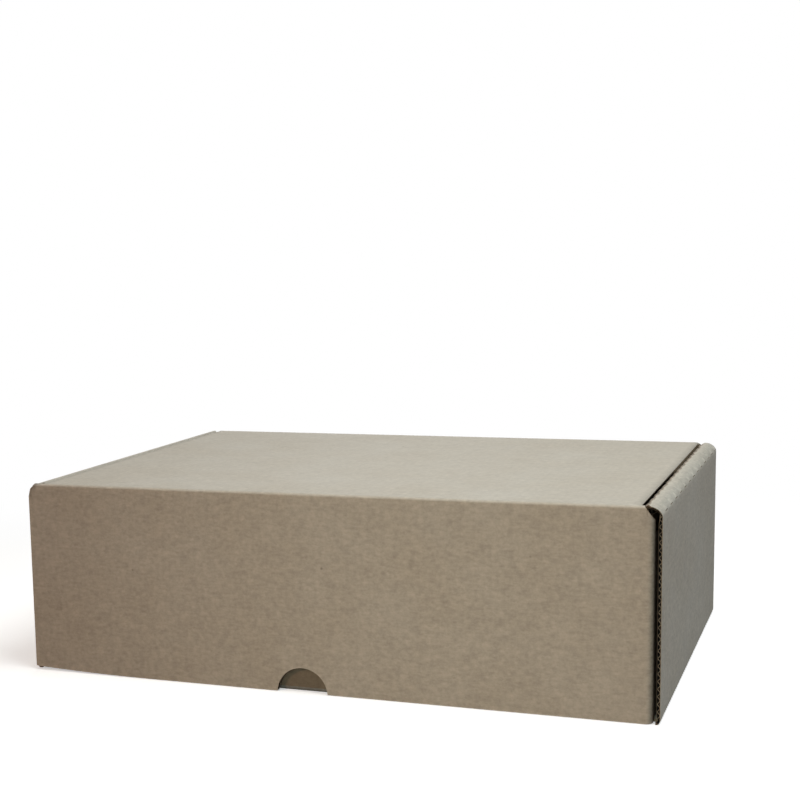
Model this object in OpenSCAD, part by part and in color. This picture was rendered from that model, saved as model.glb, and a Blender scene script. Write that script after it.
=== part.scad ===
// Closed mailing box folded from one sheet of thin corrugated board.
// The side walls are rolled over into double walls, the lid lies between the two rolls,
// and the front flap hangs outside the front wall with its ears tucked into the rolls.
// The origin is the middle of the underside, +Z is up, and the front flap faces -Y.

/* [Box] */
// Width across the two rolled side walls
box_w = 300; // [220:1:400]
// Depth from the front flap to the back wall
box_d = 190; // [130:1:280]
// Height from the floor to the top of the lid
box_h = 92; // [70:1:140]

/* [Board] */
// Thickness of the corrugated board
board_t = 1.7; // [1.5:0.1:2.2]
// Distance from one flute to the next
flute_pitch = 3.24; // [2.8:0.02:4.2]
// Thickness of the flat paper on each face
liner_t = 0.24; // [0.15:0.01:0.35]
// Thickness of the waved paper between the two
medium_t = 0.2; // [0.12:0.01:0.3]

/* [Folds] */
// Inner radius of a sharp fold
fold_inside = 0.3; // [0.2:0.1:0.6]
// Inner radius of the soft crease that runs along the top of each side wall
roll_inside = 2.3; // [1:0.1:2.6]
// Slack between two layers that lie against each other
layer_gap = 0.25; // [0.2:0.05:0.6]
// Length of crushed board beside a fold, where the flutes are closed
crush = 1; // [0.5:0.1:3]

/* [Side walls] */
// Distance that the cut ends of the side walls stand back from the flap and the back wall
end_setback = 0.6; // [0.3:0.1:2]
// Gap between the flap's inner face and the front end of the strip along the top
strip_gap = 0.5; // [0.3:0.1:1.6]
// Width of each locking tab at the foot of the inner wall
tab_w = 28; // [12:1:30]
// Distance from the middle of a side to the middle of each tab
tab_spread = 42; // [25:1:45]
// Length of each cut in a perforated crease
perf_cut = 5.5; // [3:0.5:8]
// Distance from one cut to the next along the outer crease
outer_perf_pitch = 14.5; // [9:0.5:20]
// Distance from one cut to the next along the inner crease
inner_perf_pitch = 11.5; // [9:0.5:20]
// Width of the slit that a cut opens on the outside of the fold
perf_slit = 0.6; // [0.3:0.1:1.2]

/* [Corner flaps] */
// Length of the flaps that fold back from the front wall and the back wall
corner_len = 58; // [30:1:62]
// Taper at the top and foot of a corner flap's free end
corner_taper = 6; // [0:0.5:15]

/* [Lid] */
// Gap between the lid's side edges and the rolls
lid_gap = 1.5; // [0.3:0.1:2.5]
// Height of the lid above the top of the rolls
lid_rise = 0.3; // [0.1:0.1:1]

/* [Front flap] */
// Gap between the foot of the flap and the floor
floor_gap = 0.6; // [0.3:0.1:3]
// Radius of the thumb notch
notch_r = 12; // [8:0.5:18]
// Distance of the notch's centre below the foot of the flap
notch_sink = 0.5; // [0:0.5:5]
// Distance of the notch from the middle of the flap, to the right seen from the front
notch_shift = -10; // [-40:1:40]
// Clearance between the flap's cut upper corners and the rolls behind them
corner_clear = 0.7; // [0.4:0.1:3]
// Gap between an ear and the outer wall beside it
ear_gap = 0.5; // [0.3:0.1:1.2]
// Length of the ears, from the front
ear_len = 46; // [25:1:60]
// Height of the upper edge of the ears below the lid
ear_drop = 11; // [9:1:20]
// Slope of the ears' upper edge over their length
ear_slope = 5; // [0:1:15]
// Clearance under the ears as the flap swings
ear_swing_gap = 1.2; // [0.6:0.1:4]
// Gap between the lid's front edge and the rounded top of the flap
hinge_gap = 0.25; // [0.2:0.05:0.6]

/* [Hidden] */
$fn = 48;
EPS = 0.01;
kraft = "#b09f86";
kraft_front = "#a3937b";

// Half of the outer width and depth, from which every place is worked out
half_w = box_w / 2;
half_d = box_d / 2;

// Outer radii of the folds
fold_r = board_t + fold_inside;
roll_r = board_t + roll_inside;

// The layers of a rolled wall, from outside: outer wall, ear, corner flap, inner wall
ear_x = half_w - board_t - ear_gap;
front_corner_x = ear_x - board_t - layer_gap;
back_corner_x = half_w - board_t - layer_gap;
roll_w = 4 * board_t + ear_gap + 2 * layer_gap;
roll_in_x = half_w - roll_w;
lid_half_w = roll_in_x - lid_gap;

// Heights
roll_top = box_h - lid_rise;
wall_top = roll_top - board_t - layer_gap;
corner_top = roll_top - roll_r;
flap_flute_top = wall_top - crush;
inner_foot = board_t + layer_gap;

// Places along the depth
wall_end = half_d - end_setback;
front_y = -half_d + board_t + layer_gap;
strip_front_y = -half_d + board_t + strip_gap;
inner_front_y = front_y + board_t + layer_gap;
inner_back_y = half_d - board_t - layer_gap;

// The flap turns about the middle of its own thickness, just inside the lid's front edge
hinge_y = -half_d + board_t / 2;
hinge_z = box_h - board_t / 2;
lid_front_y = hinge_y + board_t / 2 + hinge_gap;

// The diagonal cut at the flap's upper corners passes under the curve of each roll
corner_cut = roll_r - ear_gap + lid_rise + corner_clear;
flap_top_half_w = ear_x - corner_cut;
ear_swing_r = hinge_z - board_t - ear_swing_gap;

// The waved paper leaves one cell against each liner in every flute
crest = flute_pitch / 8;
web = medium_t * 0.6;
cell_wide = flute_pitch / 2 - crest - web;
cell_narrow = crest - web;

// One cell under a crest, seen from the end of the flutes, with its wide side on the liner at y = 0
module cell() {
    polygon([
        [-cell_wide, liner_t],
        [cell_wide, liner_t],
        [cell_narrow, board_t - liner_t - medium_t],
        [-cell_narrow, board_t - liner_t - medium_t]
    ]);
}

// Cells of a panel that is len long, centred on it and clear of the crushed board at both ends
module cells(len) {
    count = floor((len - 2 * crush) / flute_pitch);
    first = (len - count * flute_pitch + flute_pitch / 2) / 2;
    for (i = [0 : 1 : count - 1]) {
        translate([first + i * flute_pitch, 0]) cell();
        translate([first + (i + 0.5) * flute_pitch, board_t]) mirror([0, 1]) cell();
    }
}

// End view of a flat panel along +X, with its flutes running away from the eye.
// Where a crease has crushed the board, the flutes are closed.
module panel(len, open_flutes = true) {
    difference() {
        square([len, board_t]);
        if (open_flutes) cells(len);
    }
}

// End view of a fold round the origin, in the quarter where x and y are positive.
// Both ends reach a hair's breadth into the panels that the fold joins.
module fold(r) {
    difference() {
        intersection() {
            circle(r);
            square(r);
        }
        circle(r - board_t);
    }
    translate([-EPS, r - board_t]) square([EPS, board_t]);
    translate([r - board_t, -EPS]) square([board_t, EPS]);
}

// A fold that turns the right side wall up from the bottom
module foot_fold() {
    translate([half_w - fold_r, fold_r]) mirror([0, 1]) fold(fold_r);
}

// End view of the right side wall: foot, outer wall and the soft crease above it
module outer_profile() {
    foot_fold();
    translate([half_w, fold_r]) rotate(90) panel(roll_top - roll_r - fold_r);
    translate([half_w - roll_r, roll_top - roll_r]) fold(roll_r);
}

// End view of the strip along the top, which is too narrow for open flutes
module strip_profile() {
    translate([roll_in_x, roll_top - board_t]) square([roll_w - roll_r, board_t]);
}

// End view of the square corner that the fold takes off the strip along the inner wall
module fold_corner() {
    translate([roll_in_x, roll_top - fold_r]) difference() {
        square(fold_r);
        translate([fold_r, 0]) circle(fold_r);
    }
}

// End view of the inner wall and the fold from which it hangs
module inner_profile() {
    translate([roll_in_x + fold_r, roll_top - fold_r]) mirror([1, 0]) fold(fold_r);
    translate([roll_in_x + board_t, inner_foot]) rotate(90) panel(roll_top - fold_r - inner_foot);
}

// Extrudes an end view in X and Z along the depth
module along_depth(from_y, to_y) {
    translate([0, to_y, 0]) rotate([90, 0, 0]) linear_extrude(to_y - from_y) children();
}

// The slits of one perforated crease, evenly spaced along the depth
module slits(pitch, reach) {
    count = floor((inner_back_y - inner_front_y - perf_cut) / pitch);
    start = -(count * pitch) / 2;
    for (i = [0 : 1 : count]) {
        translate([0, start + i * pitch - perf_cut / 2, -perf_slit / 2])
            cube([reach, perf_cut, perf_slit]);
    }
}

// Both creases of the right roll, cut from outside at 45 degrees
module roll_slits() {
    translate([half_w - roll_r, 0, roll_top - roll_r])
        rotate([0, -45, 0]) slits(outer_perf_pitch, 2 * roll_r);
    translate([roll_in_x + fold_r, 0, roll_top - fold_r])
        rotate([0, -135, 0]) slits(inner_perf_pitch, 2 * fold_r);
}

// Places a child at each locking tab of the right side
module at_tabs() {
    for (side = [-1, 1]) translate([roll_in_x, side * tab_spread, 0]) children();
}

module locking_tab() {
    translate([0, -tab_w / 2, layer_gap]) cube([board_t, tab_w, inner_foot + EPS]);
}

module tab_slot() {
    translate([-layer_gap, -tab_w / 2 - layer_gap, -EPS])
        cube([board_t + 2 * layer_gap, tab_w + 2 * layer_gap, board_t + 2 * EPS]);
}

module right_wall() {
    difference() {
        union() {
            along_depth(-wall_end, wall_end) outer_profile();
            along_depth(inner_front_y, inner_back_y) inner_profile();
            difference() {
                along_depth(strip_front_y, wall_end) strip_profile();
                along_depth(inner_front_y, inner_back_y) fold_corner();
            }
            at_tabs() locking_tab();
        }
        roll_slits();
    }
}

// Plan view of a wall whose two ends turn back towards +Y, with its outer face at y = 0
module turned_wall_plan(corner_x, len) {
    translate([-(corner_x - fold_r), 0]) square([2 * (corner_x - fold_r), board_t]);
    for (side = [0, 1]) mirror([side, 0]) {
        translate([corner_x - fold_r, fold_r]) mirror([0, 1]) fold(fold_r);
        translate([corner_x - board_t, fold_r]) square([board_t, len - fold_r]);
    }
}

// Side view of a corner flap, which stays under the soft crease and narrows towards its free end
module corner_flap_outline(len) {
    polygon([
        [0, inner_foot],
        [fold_r + board_t, inner_foot],
        [len, inner_foot + corner_taper],
        [len, corner_top - corner_taper],
        [fold_r + board_t, corner_top],
        [0, corner_top]
    ]);
}

// A wall with its corner flaps, standing at y = 0 with its outer face towards -Y
module turned_wall(corner_x, len) {
    intersection() {
        linear_extrude(wall_top) turned_wall_plan(corner_x, len);
        rotate([90, 0, 90]) linear_extrude(box_w, center = true) corner_flap_outline(len);
    }
    translate([-(corner_x - fold_r), 0, fold_r])
        cube([2 * (corner_x - fold_r), board_t, wall_top - fold_r]);
    rotate([90, 0, 90]) linear_extrude(2 * (corner_x - fold_r), center = true)
        translate([fold_r, fold_r]) rotate(180) fold(fold_r);
}

module bottom() {
    difference() {
        translate([-(half_w - fold_r), front_y + fold_r, 0])
            cube([2 * (half_w - fold_r), half_d - fold_r - front_y - fold_r, board_t]);
        for (side = [0, 1]) mirror([side, 0, 0]) at_tabs() tab_slot();
    }
}

// The lid, with the fold that joins it to the back wall
module lid() {
    translate([-lid_half_w, lid_front_y, box_h - board_t])
        cube([2 * lid_half_w, half_d - fold_r - lid_front_y, board_t]);
    rotate([90, 0, 90]) linear_extrude(2 * lid_half_w, center = true)
        translate([half_d - fold_r, box_h - fold_r]) fold(fold_r);
    translate([-lid_half_w, half_d - board_t, wall_top - EPS])
        cube([2 * lid_half_w, board_t, box_h - fold_r - wall_top + EPS]);
}

module tray_and_lid() {
    color(kraft) {
        bottom();
        right_wall();
        mirror([1, 0, 0]) right_wall();
        translate([0, front_y, 0]) turned_wall(front_corner_x, corner_len);
        translate([0, half_d, 0]) mirror([0, 1, 0]) turned_wall(back_corner_x, corner_len);
        lid();
    }
}

// Plan view of the flap and its ears, with the outer face at y = 0 and the flutes standing up
module flap_plan(open_flutes) {
    face = 2 * (ear_x - fold_r);
    translate([-face / 2, 0]) panel(face, open_flutes);
    for (side = [0, 1]) mirror([side, 0]) {
        translate([ear_x - fold_r, fold_r]) mirror([0, 1]) fold(fold_r);
        translate([ear_x, fold_r]) rotate(90) panel(ear_len - fold_r, open_flutes);
    }
}

// Front view of the flap: cut corners above, thumb notch below
module flap_outline() {
    difference() {
        polygon([
            [-ear_x, floor_gap],
            [ear_x, floor_gap],
            [ear_x, box_h - corner_cut],
            [flap_top_half_w + board_t / 2, hinge_z],
            [-flap_top_half_w - board_t / 2, hinge_z],
            [-ear_x, box_h - corner_cut]
        ]);
        translate([notch_shift, floor_gap - notch_sink]) circle(notch_r, $fn = 96);
    }
}

// Side view of an ear: a sloping upper edge, and an arc round the hinge that clears the bottom
module ear_outline() {
    intersection() {
        polygon([
            [0, floor_gap],
            [ear_len, floor_gap],
            [ear_len, box_h - ear_drop - ear_slope],
            [fold_r, box_h - ear_drop],
            [0, box_h - ear_drop]
        ]);
        translate([board_t / 2, hinge_z]) circle(ear_swing_r, $fn = 96);
    }
}

module front_flap() {
    color(kraft_front) translate([0, -half_d, 0]) {
        intersection() {
            union() {
                linear_extrude(flap_flute_top) flap_plan(true);
                translate([0, 0, flap_flute_top])
                    linear_extrude(box_h - flap_flute_top) flap_plan(false);
            }
            union() {
                translate([0, fold_r, 0]) rotate([90, 0, 0]) linear_extrude(fold_r) flap_outline();
                rotate([90, 0, 90]) linear_extrude(box_w, center = true)
                    difference() {
                        ear_outline();
                        square([fold_r, box_h]);
                    }
            }
        }
        rotate([90, 0, 90]) linear_extrude(2 * flap_top_half_w, center = true)
            translate([board_t / 2, hinge_z]) circle(board_t / 2);
    }
}

tray_and_lid();
front_flap();
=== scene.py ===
# %% [markdown]
# # A closed mailing box of corrugated board
# The box is folded from one die-cut sheet of thin corrugated board. Its side walls are rolled
# over into double walls, the lid lies between the two rolls, and the lid's front flap hangs
# outside the front wall, with its ears tucked into the rolls. The lesson builds each run of the
# sheet as a thin closed shell with rounded folds, and then gives the paper its look.
#
# The CAD model is the fixed frame: it says how big the box is and where every fold lies.

# %% Load the frame
import math

import bmesh
import bpy
from mathutils import Matrix, Vector


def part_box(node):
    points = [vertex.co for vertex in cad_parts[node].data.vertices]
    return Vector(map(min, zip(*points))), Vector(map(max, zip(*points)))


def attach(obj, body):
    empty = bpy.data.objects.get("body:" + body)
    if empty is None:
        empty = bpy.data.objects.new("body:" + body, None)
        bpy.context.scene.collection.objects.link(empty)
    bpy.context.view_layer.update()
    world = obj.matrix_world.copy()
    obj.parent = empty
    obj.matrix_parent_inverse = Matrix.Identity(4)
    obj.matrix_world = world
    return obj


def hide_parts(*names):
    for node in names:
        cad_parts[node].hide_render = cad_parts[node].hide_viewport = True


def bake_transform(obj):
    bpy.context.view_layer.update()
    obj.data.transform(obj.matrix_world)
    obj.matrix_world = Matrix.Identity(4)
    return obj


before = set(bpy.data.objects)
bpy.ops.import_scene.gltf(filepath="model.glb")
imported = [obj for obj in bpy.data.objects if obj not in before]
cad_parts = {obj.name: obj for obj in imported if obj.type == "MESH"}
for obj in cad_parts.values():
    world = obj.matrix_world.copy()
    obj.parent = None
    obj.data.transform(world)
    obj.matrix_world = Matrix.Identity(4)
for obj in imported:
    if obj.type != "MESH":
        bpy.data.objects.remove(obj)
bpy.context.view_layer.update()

tray_high = 1000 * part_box("tray_and_lid")[1]
flap_low, flap_high = (1000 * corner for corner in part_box("front_flap"))

# %% [markdown]
# ## Sizes
# All lengths are in millimetres until a mesh is finished, because board is measured that way.
# The outer sizes come from the CAD nodes, and the rest are the sizes of the board and its folds.
# The fold at the flap's left end is sharper than the right one, as it is on the real box.
# HAIR is the hair's breadth within which two places count as the same.

# %% Sizes of the board and its folds
BOARD = 1.7
FLUTE = 3.24
LINER = 0.22
FLUTING = 0.2
FOLD_R = 2.0
LID_FOLD_R = 1.3
EAR_FOLD_R = 3.0
LEFT_FOLD_R = 1.2
LAYER_GAP = 0.25
FRONT_GAP = 1.2
LID_GAP = 1.25
ROLL_W = 7.8
HAIR = 0.01
print("board", BOARD, "mm thick, with a flute every", FLUTE, "mm")

# %% Places on the box
HALF_W = tray_high.x
BACK = tray_high.y
FRONT = flap_low.y
TOP = tray_high.z
FLAP_X = flap_high.x - 0.3
FLAP_FOOT = flap_low.z - 0.35
EAR_END = flap_high.y

WALL_END = BACK - 0.6
ROLL_TOP = TOP - 0.3
ROLL_IN_X = HALF_W - ROLL_W
LID_X = ROLL_IN_X - LID_GAP
WALL_TOP = ROLL_TOP - BOARD - LAYER_GAP
CORNER_TOP = ROLL_TOP - 4.0
FRONT_WALL_Y = FRONT + BOARD + FRONT_GAP
STRIP_FRONT_Y = FRONT + BOARD + 0.5
INNER_FRONT_Y = FRONT_WALL_Y + BOARD + LAYER_GAP
INNER_BACK_Y = BACK - BOARD - LAYER_GAP
SHOULDER_X = flap_high.x - 4.5
LEFT_SHOULDER_X = flap_high.x - 2.6
SHOULDER_SLOPE = 1.4
print("flap", round(2 * FLAP_X, 1), "mm wide; lid", round(2 * LID_X, 1), "mm wide")

# %% [markdown]
# ## How the real box has settled
# A folded box is never quite square. On this one the left roll stands lower than the right one,
# most of all at the front. The right side leans in towards its foot, and the lid sags in the
# middle. The lid's front end has slipped to the left with the flap, and its right edge spreads
# a little there. The flap's left end bulges out over a crushed wall, and its foot is lifted.
# Each panel could be bent by itself, but gaps would open between them. So what moves the whole
# box is one function that every mesh goes through, and pieces which touch still touch after it.

# %% The settled shape
LEFT_SINKS = 1.6
RIGHT_LEANS = 1.1
LID_SAGS = 0.25
LID_SLIPS = 0.75
LID_SPREADS = 0.85
LEFT_END_BULGES = 1.5
LEFT_END_LIFTS = 1.6
LEFT_END_DEPTH = 11


def settle(x, y, z):
    """Where a point of the square box lies on the settled one, in millimetres."""
    share = 0.75 - 0.25 * y / BACK  # 1 at the front and 0.5 at the back
    sink = LEFT_SINKS * (z / TOP) * (HALF_W - x) / (2 * HALF_W) * share
    over = max(0.0, 1 - (x / LID_X) ** 2) * max(0.0, 1 - (y / INNER_BACK_Y) ** 2)
    sag = LID_SAGS * over if z > WALL_TOP else 0.0
    lean = RIGHT_LEANS * (1 - z / TOP) * max(0.0, x / HALF_W)
    return x - lean, y, z - sink - sag


def slipped(points):
    """The points of the lid or the flap, slipped to the left at the front and not at the back."""
    return [(x - LID_SLIPS * (BACK - y) / (2 * BACK), y, z) for x, y, z in points]


print("the top left front corner sinks by", round(TOP - settle(-HALF_W, FRONT, TOP)[2], 2), "mm")

# %% [markdown]
# ## Materials: uncoated kraft paper
# The outer paper is matt and brown-grey, with fine fibres, a few dark specks, cloudy patches
# and, very faintly, the lines of the flutes pressed through it. The pattern could be painted,
# but a procedural one on Object coordinates has the same scale on every panel and needs no
# unwrapping. The flutes' lines repeat along one axis of each panel, which the function takes
# as an argument.

# %% A helper that wires nodes, and one for colours
def wire(tree, kind, inputs=None, **settings):
    """Adds a node, sets its properties, and fills or links its inputs by name or number."""
    node = tree.nodes.new(kind)
    for key, value in settings.items():
        setattr(node, key, value)
    for key, value in (inputs or {}).items():
        if isinstance(value, bpy.types.NodeSocket):
            tree.links.new(value, node.inputs[key])
        else:
            node.inputs[key].default_value = value
    return node


def rgb(red, green, blue):
    """A colour as seen on a screen, from 0 to 255, in the linear values that nodes use."""
    def linear(v):
        v /= 255
        return v / 12.92 if v <= 0.04045 else ((v + 0.055) / 1.055) ** 2.4
    return linear(red), linear(green), linear(blue), 1.0


def maths(tree, operation, *values):
    """One Math node; its values are numbers or sockets."""
    return wire(tree, "ShaderNodeMath", dict(enumerate(values)), operation=operation).outputs[0]


def noise(tree, place, scale, detail=3, roughness=0.6):
    """One Noise node, from 0 to 1; its scale is in waves to the metre."""
    return wire(tree, "ShaderNodeTexNoise", {
        "Vector": place, "Scale": scale, "Detail": detail, "Roughness": roughness}).outputs["Fac"]


# %% Kraft paper
PAPER = rgb(191, 185, 173)
# The tint for painted warm shade, which darkens the paper and makes it browner.
WARM_SHADE_TINT = (0.84, 0.77, 0.70)
CLOUD = 0.04
MOTTLE, GRAIN, FIBRES = 0.25, 0.52, 0.42
CLOUD_SCALE, MOTTLE_SCALE, GRAIN_SCALE, FIBRE_SCALE, SPECK_SCALE = 22, 170, 520, 900, 95
DRAWN_OUT = 0.35
WARM_SHADE_CONTRAST = 0.35
# The last of these steps is how much one unit of painted light brightens the paper; below 0 it darkens it as
# painted shade.
RIDGE_STEP, SPECK_STEP, PAINTED_LIGHT_STEP = 0.007, -0.35, 0.14


def kraft_paper(name, colour, across, fibres_along, contrast):
    """Kraft liner. The flutes repeat across one axis, 'X' or 'Z', and the fibres run along one.
    The points of a piece carry painted warm shade, which makes the paper browner and darker, and painted
    light, which is painted shade below 0 and a painted highlight above 0."""
    material = bpy.data.materials.new(name)
    material.use_nodes = True
    tree = material.node_tree
    tree.nodes.clear()
    place = wire(tree, "ShaderNodeTexCoord").outputs["Object"]

    clouds = noise(tree, place, CLOUD_SCALE, 4)
    mottle = noise(tree, place, MOTTLE_SCALE, 3, 0.6)
    grain = noise(tree, place, GRAIN_SCALE, 3, 0.7)
    squeeze = tuple(DRAWN_OUT if axis == fibres_along else 1 for axis in "XYZ")
    drawn_out = wire(tree, "ShaderNodeVectorMath", {0: place, 1: squeeze}, operation="MULTIPLY")
    fibres = noise(tree, drawn_out.outputs[0], FIBRE_SCALE, 2)
    axes = wire(tree, "ShaderNodeSeparateXYZ", {0: place})
    ridges = maths(tree, "SINE", maths(tree, "MULTIPLY", axes.outputs[across], 2000 * math.pi / FLUTE))

    spots = wire(tree, "ShaderNodeTexVoronoi", {"Vector": place, "Scale": SPECK_SCALE})
    near = wire(tree, "ShaderNodeMapRange", {
        "Value": spots.outputs["Distance"], 1: 0.03, 2: 0.075, 3: 1, 4: 0})
    dice = wire(tree, "ShaderNodeSeparateColor", {0: spots.outputs["Color"]})
    specks = maths(tree, "MULTIPLY", near.outputs[0], maths(tree, "GREATER_THAN", dice.outputs[0], 0.95))

    painted_warm_shade = wire(tree, "ShaderNodeAttribute", attribute_name="painted_warm_shade").outputs["Fac"]
    pulp = maths(tree, "MULTIPLY_ADD", mottle, MOTTLE, -(MOTTLE + GRAIN + FIBRES) / 2)
    pulp = maths(tree, "MULTIPLY_ADD", grain, GRAIN, pulp)
    pulp = maths(tree, "MULTIPLY_ADD", fibres, FIBRES, pulp)
    coarseness = maths(tree, "MULTIPLY_ADD", painted_warm_shade, WARM_SHADE_CONTRAST, contrast)
    level = wire(tree, "ShaderNodeMapRange", {
        "Value": clouds, 1: 0.3, 2: 0.7, 3: 1 - CLOUD, 4: 1 + CLOUD}).outputs[0]
    level = maths(tree, "MULTIPLY_ADD", pulp, coarseness, level)
    level = maths(tree, "MULTIPLY_ADD", ridges, RIDGE_STEP, level)
    level = maths(tree, "MULTIPLY_ADD", specks, SPECK_STEP, level)
    painted_light = wire(tree, "ShaderNodeAttribute", attribute_name="painted_light").outputs["Fac"]
    level = maths(tree, "MULTIPLY_ADD", painted_light, PAINTED_LIGHT_STEP, level)

    shades = wire(tree, "ShaderNodeMix", {"Factor": clouds}, data_type="RGBA")
    shades.inputs[6].default_value = tuple(c * k for c, k in zip(colour, (1.01, 0.98, 0.94, 1)))
    shades.inputs[7].default_value = tuple(c * k for c, k in zip(colour, (0.99, 1.02, 1.06, 1)))
    tinted = wire(tree, "ShaderNodeMix", {"Factor": painted_warm_shade, 6: shades.outputs[2]}, data_type="RGBA")
    darker = wire(tree, "ShaderNodeVectorMath", {0: shades.outputs[2], 1: WARM_SHADE_TINT}, operation="MULTIPLY")
    tree.links.new(darker.outputs[0], tinted.inputs[7])
    paint = wire(tree, "ShaderNodeVectorMath", {0: tinted.outputs[2], "Scale": level}, operation="SCALE")

    relief = maths(tree, "MULTIPLY_ADD", ridges, 0.3, fibres)
    bump = wire(tree, "ShaderNodeBump", {"Height": relief, "Strength": 0.2, "Distance": 0.00012})
    shader = wire(tree, "ShaderNodeBsdfPrincipled", {
        "Base Color": paint.outputs[0], "Roughness": 0.88, "Normal": bump.outputs[0]})
    shader.inputs["Specular IOR Level"].default_value = 0.25
    wire(tree, "ShaderNodeOutputMaterial", {0: shader.outputs[0]})
    return material


paper_panel = kraft_paper("kraft_upright_flutes", PAPER, "X", "X", 0.6)
paper_side = kraft_paper("kraft_lying_flutes", PAPER, "Z", "Y", 1.0)
# A darker copy of the paper, as painted shade for the front wall under the flap.
paper_painted_shade = kraft_paper("kraft_painted_shade", rgb(120, 107, 89), "X", "X", 0.8)
print("papers:", paper_panel.name, paper_side.name, paper_painted_shade.name)

# %% [markdown]
# The cut edge of the board shows the middle of the sheet. It is browner and rougher than the outer paper,
# streaked along the layers. The waved paper inside is of the same brown pulp. The hollows behind it get
# almost no light, so their walls are painted nearly black, as painted shadow.

# %% Cut edges, waved paper and the hollows between
DARK_PULP = 0.62


def rough_pulp(name, colour, scale):
    """Unbleached pulp with loose fibres, for cut edges and for the waved paper, and nearly black for the
    painted shadow in the hollows. The painted light of its points brightens or darkens it.
    """
    material = bpy.data.materials.new(name)
    material.use_nodes = True
    tree = material.node_tree
    tree.nodes.clear()
    place = wire(tree, "ShaderNodeTexCoord").outputs["Object"]
    patches = noise(tree, place, scale, 4, 0.65)
    ramp = wire(tree, "ShaderNodeValToRGB", {0: patches})
    ramp.color_ramp.elements[0].position = 0.3
    ramp.color_ramp.elements[0].color = tuple(DARK_PULP * c for c in colour[:3]) + (1,)
    ramp.color_ramp.elements[1].position = 0.7
    ramp.color_ramp.elements[1].color = colour
    painted_light = wire(tree, "ShaderNodeAttribute", attribute_name="painted_light").outputs["Fac"]
    level = maths(tree, "MULTIPLY_ADD", painted_light, PAINTED_LIGHT_STEP, 1)
    paint = wire(tree, "ShaderNodeVectorMath", {0: ramp.outputs[0], "Scale": level}, operation="SCALE")
    bump = wire(tree, "ShaderNodeBump", {"Height": patches, "Strength": 0.4, "Distance": 0.0001})
    shader = wire(tree, "ShaderNodeBsdfPrincipled", {
        "Base Color": paint.outputs[0], "Roughness": 0.95, "Normal": bump.outputs[0]})
    shader.inputs["Specular IOR Level"].default_value = 0.15
    wire(tree, "ShaderNodeOutputMaterial", {0: shader.outputs[0]})
    return material


cut_edge = rough_pulp("cut_board_edge", rgb(156, 138, 114), 700)
waved_paper = rough_pulp("waved_paper", rgb(156, 142, 121), 500)
# Near black: painted shadow in the hollows between the papers.
flute_shadow = rough_pulp("painted_shadow_in_flutes", rgb(14, 11, 9), 400)
print("pulps:", cut_edge.name, waved_paper.name, flute_shadow.name)

# %% [markdown]
# ## One way to build every panel
# Each run of the sheet is a line seen from its end, with straight runs and rounded bends, drawn
# out across the panel. A solid could be cut to shape with booleans, but a shell built row by
# row keeps clean quads, true thickness and rounded folds. A row holds a point of the outer
# face, the direction into the board, and the board's thickness there.

# %% Straight runs and bends
def run(start, end, steps, into, thick=BOARD):
    """Rows along a straight stretch of the outer face."""
    return [((start[0] + (end[0] - start[0]) * i / steps, start[1] + (end[1] - start[1]) * i / steps),
             into, thick) for i in range(steps + 1)]


def bend(centre, radius, start, end, steps=8, thick=1.4):
    """Rows round a fold, from one angle to another in degrees. The board is crushed there."""
    rows = []
    for i in range(steps + 1):
        angle = math.radians(start + (end - start) * i / steps)
        out = (math.cos(angle), math.sin(angle))
        rows.append(((centre[0] + radius * out[0], centre[1] + radius * out[1]), (-out[0], -out[1]), thick))
    return rows


def join(*parts):
    """One line of rows from several. Where two rows meet, the thinner one stays."""
    rows = list(parts[0])
    for part in parts[1:]:
        if math.dist(rows[-1][0], part[0][0]) < 1e-6:
            rows[-1] = min(rows[-1], part[0], key=lambda row: row[2])
            part = part[1:]
        rows += part
    return rows


# %% [markdown]
# Where the board is cut across its flutes, the edge is open: two thin papers with a gap
# between them. The edge of a shell is therefore either closed with one strip of faces or,
# where the flutes are open, sunk between the two papers.

# %% Close a cut edge
POCKET = 1.6


def close_cut(points, faces, outer, inner, is_open, inward):
    """Closes the cut between two rows of points. Open stretches get a pocket between the papers."""
    def between(a, b, share):
        return tuple(points[a][k] + (points[b][k] - points[a][k]) * share for k in range(3))

    sunk = {}
    for n, opened in enumerate(is_open):
        if opened:
            share = LINER / max(math.dist(points[outer[n]], points[inner[n]]), 1e-6)
            lip_a, lip_b = between(outer[n], inner[n], share), between(inner[n], outer[n], share)
            floor_a, floor_b = (tuple(lip[k] + POCKET * inward[k] for k in range(3))
                                for lip in (lip_a, lip_b))
            sunk[n] = tuple(range(len(points), len(points) + 4))
            points += [lip_a, floor_a, floor_b, lip_b]
    for n in range(len(outer) - 1):
        if n in sunk and n + 1 in sunk:
            here = (outer[n],) + sunk[n] + (inner[n],)
            there = (outer[n + 1],) + sunk[n + 1] + (inner[n + 1],)
            faces += [((here[k], there[k], there[k + 1], here[k + 1]), 2 if 0 < k < 4 else 1)
                      for k in range(5)]
        else:
            lips_here = (sunk[n][0], sunk[n][3]) if n in sunk else ()
            lips_there = (sunk[n + 1][3], sunk[n + 1][0]) if n + 1 in sunk else ()
            loop = (outer[n],) + lips_here + (inner[n], inner[n + 1]) + lips_there + (outer[n + 1],)
            faces.append((loop, 1))
    ends = [n for n in sunk if n - 1 not in sunk or n + 1 not in sunk]
    faces += [(sunk[n], 2) for n in ends]


# %% Draw a line of rows out into a panel
def as_drawn(x, y, z):
    """For rows that are drawn from above, whose places across the panel are heights."""
    return x, y, z


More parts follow.
